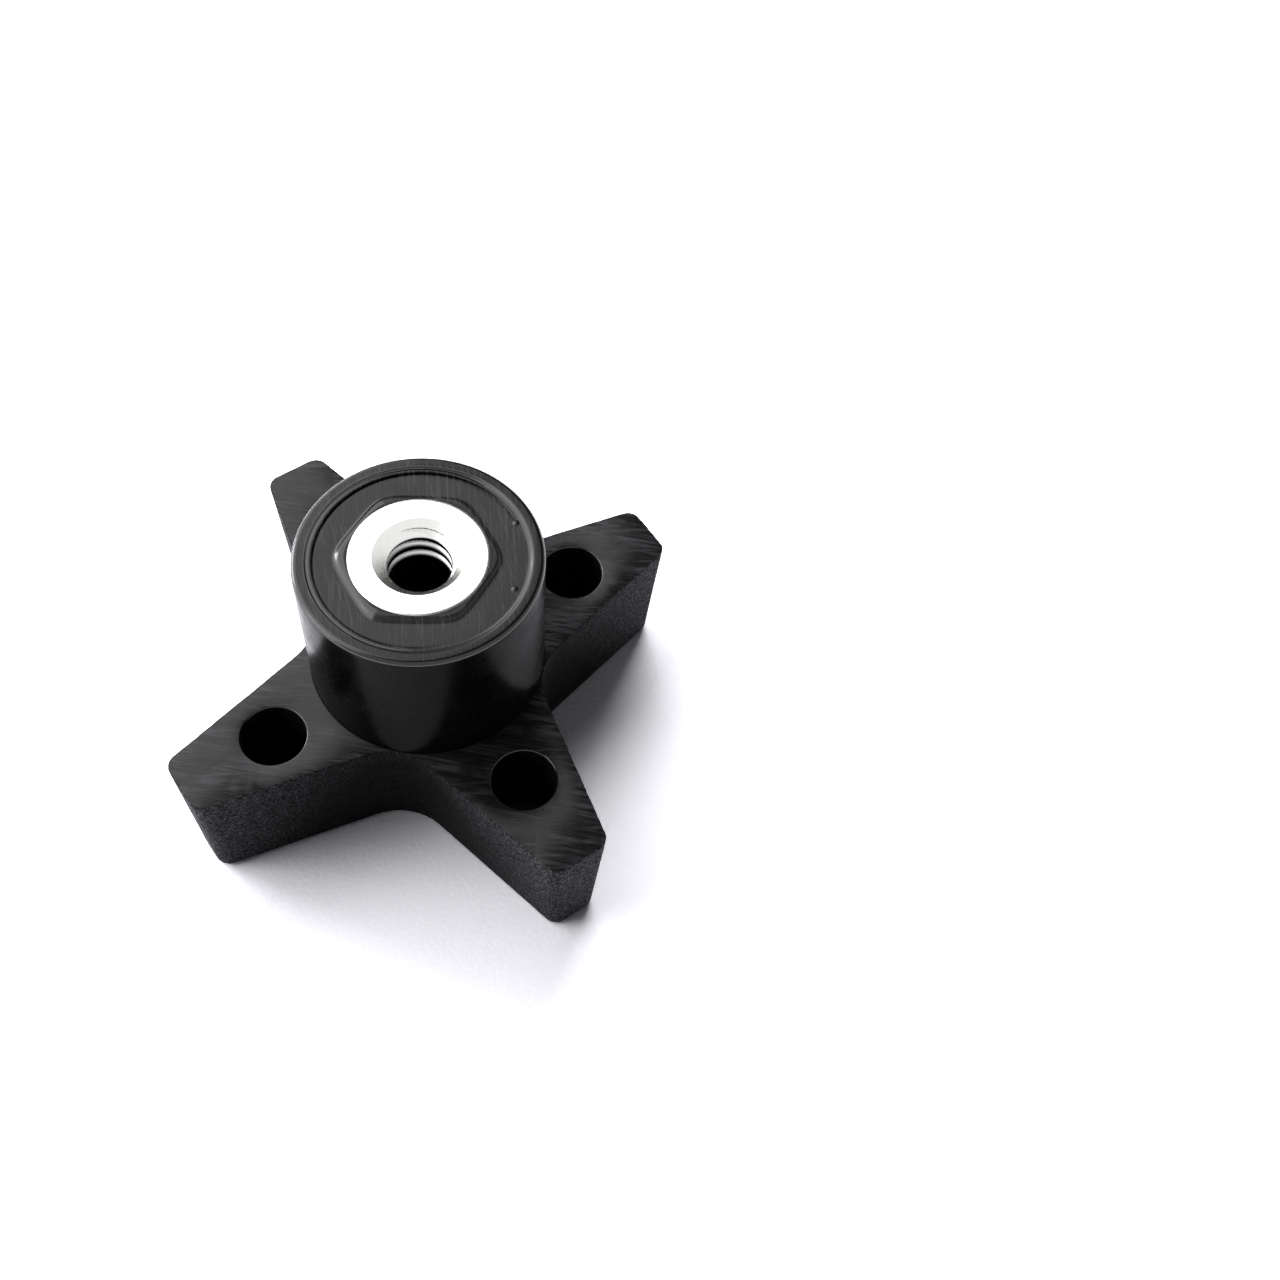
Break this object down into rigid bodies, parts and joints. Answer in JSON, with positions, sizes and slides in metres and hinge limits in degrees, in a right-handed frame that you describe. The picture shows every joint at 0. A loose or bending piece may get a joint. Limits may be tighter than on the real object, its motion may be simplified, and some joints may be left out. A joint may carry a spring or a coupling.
{
  "type": "star knob",
  "caption": "Cross-shaped plastic hand knob with a raised round hub and a threaded hexagonal nut moulded into the hub's end, for tightening by hand onto a stud.",
  "frame": {"origin": "centre of the flat front face, which is the end that the hand faces in use and the end that the knob rests on here", "axes": "+Z along the hub's axis from the front face out of the hub's end; the four arms lie along +X, +Y, -X and -Y"},
  "size_m": [0.0476, 0.0476, 0.0275],
  "materials": {
    "moulding": "black thermoplastic, fine spark-eroded grain on the sides and front face, smoother sanded rear faces",
    "nut": "bright plated steel, turned end face"
  },
  "bodies": {
    "root": {"knob_body": "moulding", "threaded_insert": "nut"}
  },
  "joints": []
}
